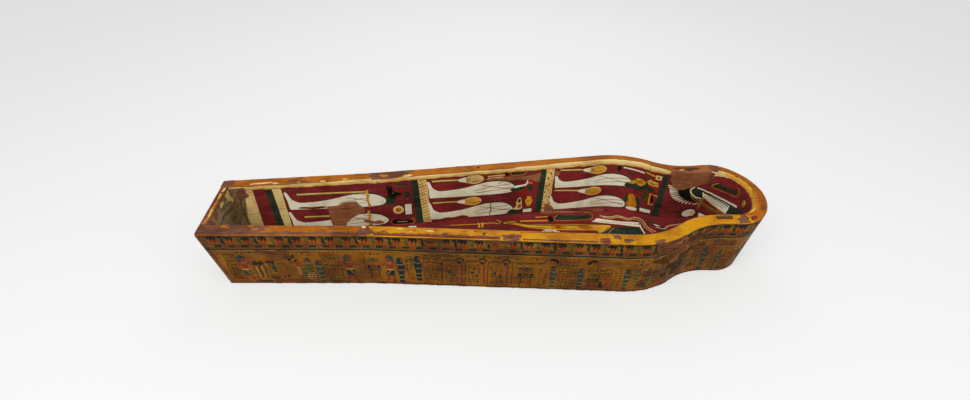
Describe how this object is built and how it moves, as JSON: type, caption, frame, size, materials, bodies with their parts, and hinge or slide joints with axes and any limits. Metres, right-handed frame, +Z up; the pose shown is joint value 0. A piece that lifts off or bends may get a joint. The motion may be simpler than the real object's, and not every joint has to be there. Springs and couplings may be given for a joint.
{
  "type": "mummy case trough",
  "caption": "Open painted wooden trough of a mummy-shaped case, narrow at the foot, wide at the shoulders, round at the head, with slots in its rim for a lid.",
  "frame": {"origin": "on the ground under the middle of the case's length and width", "axes": "+X from the foot end to the head end, +Z up out of the open trough, +Y across to the case's left as seen from the foot"},
  "size_m": [1.87, 0.48, 0.24],
  "materials": {
    "side_wood": "painted gesso over sycamore, varnished",
    "block_wood": "painted gesso over carved timber, varnished",
    "head_wood": "painted gesso over carved timber, varnished",
    "foot_wood": "mud plaster and gesso over wood",
    "floor_wood": "painted wood",
    "tongue_wood": "bare hardwood",
    "peg_wood": "bare hardwood"
  },
  "bodies": {
    "root": {"leg_plank_left": "side_wood", "leg_plank_right": "side_wood", "thigh_plank_left": "side_wood", "thigh_plank_right": "side_wood", "shoulder_block_left": "block_wood", "shoulder_block_right": "block_wood", "neck_block_left": "block_wood", "neck_block_right": "block_wood", "head_board_lower": "head_wood", "head_board_upper": "head_wood", "footboard": "foot_wood", "floor_board_left": "floor_wood", "floor_board_right": "floor_wood", "floor_wing_left": "floor_wood", "floor_wing_right": "floor_wood", "leg_joint_tongues": "tongue_wood", "shoulder_joint_tongues": "tongue_wood", "neck_joint_tongues": "tongue_wood", "head_joint_tongues": "tongue_wood", "floor_tongues": "tongue_wood", "tongue_pegs": "peg_wood", "floor_side_dowels": "peg_wood", "floor_end_dowels": "peg_wood", "floor_wing_dowels": "peg_wood", "foot_dowels": "peg_wood", "head_dowels": "peg_wood"}
  },
  "joints": []
}
